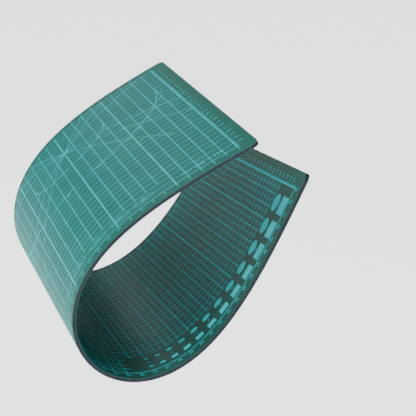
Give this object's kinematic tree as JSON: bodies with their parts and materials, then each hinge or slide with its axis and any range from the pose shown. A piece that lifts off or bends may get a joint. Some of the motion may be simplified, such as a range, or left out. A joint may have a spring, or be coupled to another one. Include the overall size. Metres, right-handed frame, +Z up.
{
  "type": "self healing mat",
  "caption": "Flexible self-healing cutting mat with printed measuring grids on both faces, curled by hand into a loop; it unrolls flat.",
  "frame": {"origin": "the middle of the grip: on the front face, 25 mm from the mat's upper end and halfway across its width, where the hand holds it", "axes": "+Z up as the mat is held; +Y across the mat, along the line it bends about at the grip, away from the pictured side; the gripped flap runs from the origin towards -X and down, and the loop hangs below it"},
  "size_m": [0.1839, 0.3167, 0.184],
  "materials": {
    "front_skin": "fine satin grain, printed grid",
    "core": "die-cut edge, matt",
    "back_skin": "fine satin grain, printed grid"
  },
  "bodies": {
    "gripped_strip": {"front_skin_01": "front_skin", "core_01": "core", "back_skin_01": "back_skin"},
    "strip_02": {"front_skin_02": "front_skin", "core_02": "core", "back_skin_02": "back_skin"},
    "strip_03": {"front_skin_03": "front_skin", "core_03": "core", "back_skin_03": "back_skin"},
    "strip_04": {"front_skin_04": "front_skin", "core_04": "core", "back_skin_04": "back_skin"},
    "strip_05": {"front_skin_05": "front_skin", "core_05": "core", "back_skin_05": "back_skin"},
    "strip_06": {"front_skin_06": "front_skin", "core_06": "core", "back_skin_06": "back_skin"},
    "strip_07": {"front_skin_07": "front_skin", "core_07": "core", "back_skin_07": "back_skin"},
    "strip_08": {"front_skin_08": "front_skin", "core_08": "core", "back_skin_08": "back_skin"},
    "strip_09": {"front_skin_09": "front_skin", "core_09": "core", "back_skin_09": "back_skin"},
    "strip_10": {"front_skin_10": "front_skin", "core_10": "core", "back_skin_10": "back_skin"},
    "strip_11": {"front_skin_11": "front_skin", "core_11": "core", "back_skin_11": "back_skin"},
    "strip_12": {"front_skin_12": "front_skin", "core_12": "core", "back_skin_12": "back_skin"},
    "strip_13": {"front_skin_13": "front_skin", "core_13": "core", "back_skin_13": "back_skin"},
    "strip_14": {"front_skin_14": "front_skin", "core_14": "core", "back_skin_14": "back_skin"},
    "strip_15": {"front_skin_15": "front_skin", "core_15": "core", "back_skin_15": "back_skin"},
    "strip_16": {"front_skin_16": "front_skin", "core_16": "core", "back_skin_16": "back_skin"},
    "strip_17": {"front_skin_17": "front_skin", "core_17": "core", "back_skin_17": "back_skin"},
    "strip_18": {"front_skin_18": "front_skin", "core_18": "core", "back_skin_18": "back_skin"},
    "strip_19": {"front_skin_19": "front_skin", "core_19": "core", "back_skin_19": "back_skin"},
    "free_end_strip": {"front_skin_20": "front_skin", "core_20": "core", "back_skin_20": "back_skin"}
  },
  "joints": [
    {"name": "upper_flap_1", "type": "hinge", "parent": "gripped_strip", "child": "strip_02", "pos_m": [-0.04256, 0, -0.02337], "axis": [0.0456, 0.9987, 0.0232], "range_deg": [0, 11.32]},
    {"name": "upper_flap_2", "type": "hinge", "parent": "strip_02", "child": "strip_03", "pos_m": [-0.07868, -0.00005, -0.0519], "axis": [0.0261, 0.9996, 0.0079], "range_deg": [0, 11.32]},
    {"name": "upper_flap_3", "type": "hinge", "parent": "strip_03", "child": "strip_04", "pos_m": [-0.0946, -0.00013, -0.07061], "axis": [0.0176, 0.9998, -0.0022], "range_deg": [0, 11.32]},
    {"name": "upper_bend_1", "type": "hinge", "parent": "strip_04", "child": "strip_05", "pos_m": [-0.10314, -0.00025, -0.08597], "axis": [0.013, 0.9999, -0.0105], "range_deg": [0, 11.32]},
    {"name": "upper_bend_2", "type": "hinge", "parent": "strip_05", "child": "strip_06", "pos_m": [-0.10746, -0.00038, -0.09945], "axis": [0.0106, 0.9998, -0.0178], "range_deg": [0, 11.32]},
    {"name": "upper_bend_3", "type": "hinge", "parent": "strip_06", "child": "strip_07", "pos_m": [-0.10883, -0.00054, -0.11156], "axis": [0.0099, 0.9997, -0.0243], "range_deg": [0, 11.32]},
    {"name": "upper_bend_4", "type": "hinge", "parent": "strip_07", "child": "strip_08", "pos_m": [-0.1079, -0.00069, -0.12249], "axis": [0.0104, 0.9995, -0.0302], "range_deg": [0, 11.32]},
    {"name": "loop_1", "type": "hinge", "parent": "strip_08", "child": "strip_09", "pos_m": [-0.10505, -0.00085, -0.13228], "axis": [0.0119, 0.9993, -0.0354], "range_deg": [0, 11.32]},
    {"name": "loop_2", "type": "hinge", "parent": "strip_09", "child": "strip_10", "pos_m": [-0.10055, -0.001, -0.14093], "axis": [0.0144, 0.9991, -0.0401], "range_deg": [0, 11.32]},
    {"name": "loop_3", "type": "hinge", "parent": "strip_10", "child": "strip_11", "pos_m": [-0.09457, -0.00112, -0.14836], "axis": [0.0176, 0.9989, -0.0441], "range_deg": [0, 11.32]},
    {"name": "loop_4", "type": "hinge", "parent": "strip_11", "child": "strip_12", "pos_m": [-0.08726, -0.00121, -0.15447], "axis": [0.0215, 0.9986, -0.0474], "range_deg": [0, 11.32]},
    {"name": "loop_5", "type": "hinge", "parent": "strip_12", "child": "strip_13", "pos_m": [-0.0787, -0.00125, -0.15914], "axis": [0.0261, 0.9984, -0.0499], "range_deg": [0, 11.32]},
    {"name": "lower_bend_1", "type": "hinge", "parent": "strip_13", "child": "strip_14", "pos_m": [-0.06895, -0.00123, -0.16217], "axis": [0.0314, 0.9982, -0.0515], "range_deg": [0, 11.32]},
    {"name": "lower_bend_2", "type": "hinge", "parent": "strip_14", "child": "strip_15", "pos_m": [-0.05805, -0.0011, -0.16331], "axis": [0.0372, 0.9979, -0.0521], "range_deg": [0, 11.32]},
    {"name": "lower_bend_3", "type": "hinge", "parent": "strip_15", "child": "strip_16", "pos_m": [-0.04592, -0.00083, -0.16218], "axis": [0.0438, 0.9977, -0.0515], "range_deg": [0, 11.32]},
    {"name": "lower_bend_4", "type": "hinge", "parent": "strip_16", "child": "strip_17", "pos_m": [-0.03236, -0.00036, -0.15815], "axis": [0.0511, 0.9975, -0.0493], "range_deg": [0, 11.32]},
    {"name": "lower_flap_1", "type": "hinge", "parent": "strip_17", "child": "strip_18", "pos_m": [-0.01683, 0.00045, -0.14994], "axis": [0.0594, 0.9972, -0.0448], "range_deg": [0, 11.32]},
    {"name": "lower_flap_2", "type": "hinge", "parent": "strip_18", "child": "strip_19", "pos_m": [0.00219, 0.00193, -0.13447], "axis": [0.0696, 0.9969, -0.0364], "range_deg": [0, 11.32]},
    {"name": "lower_flap_3", "type": "hinge", "parent": "strip_19", "child": "free_end_strip", "pos_m": [0.03146, 0.00537, -0.0991], "axis": [0.0853, 0.9962, -0.0172], "range_deg": [0, 11.32]}
  ],
  "couplings": [
    {"joint": "upper_flap_2", "follows": "upper_flap_1", "ratio": 1},
    {"joint": "upper_flap_3", "follows": "upper_flap_1", "ratio": 1},
    {"joint": "upper_bend_2", "follows": "upper_bend_1", "ratio": 1},
    {"joint": "upper_bend_3", "follows": "upper_bend_1", "ratio": 1},
    {"joint": "upper_bend_4", "follows": "upper_bend_1", "ratio": 1},
    {"joint": "loop_2", "follows": "loop_1", "ratio": 1},
    {"joint": "loop_3", "follows": "loop_1", "ratio": 1},
    {"joint": "loop_4", "follows": "loop_1", "ratio": 1},
    {"joint": "loop_5", "follows": "loop_1", "ratio": 1},
    {"joint": "lower_bend_2", "follows": "lower_bend_1", "ratio": 1},
    {"joint": "lower_bend_3", "follows": "lower_bend_1", "ratio": 1},
    {"joint": "lower_bend_4", "follows": "lower_bend_1", "ratio": 1},
    {"joint": "lower_flap_2", "follows": "lower_flap_1", "ratio": 1},
    {"joint": "lower_flap_3", "follows": "lower_flap_1", "ratio": 1}
  ]
}
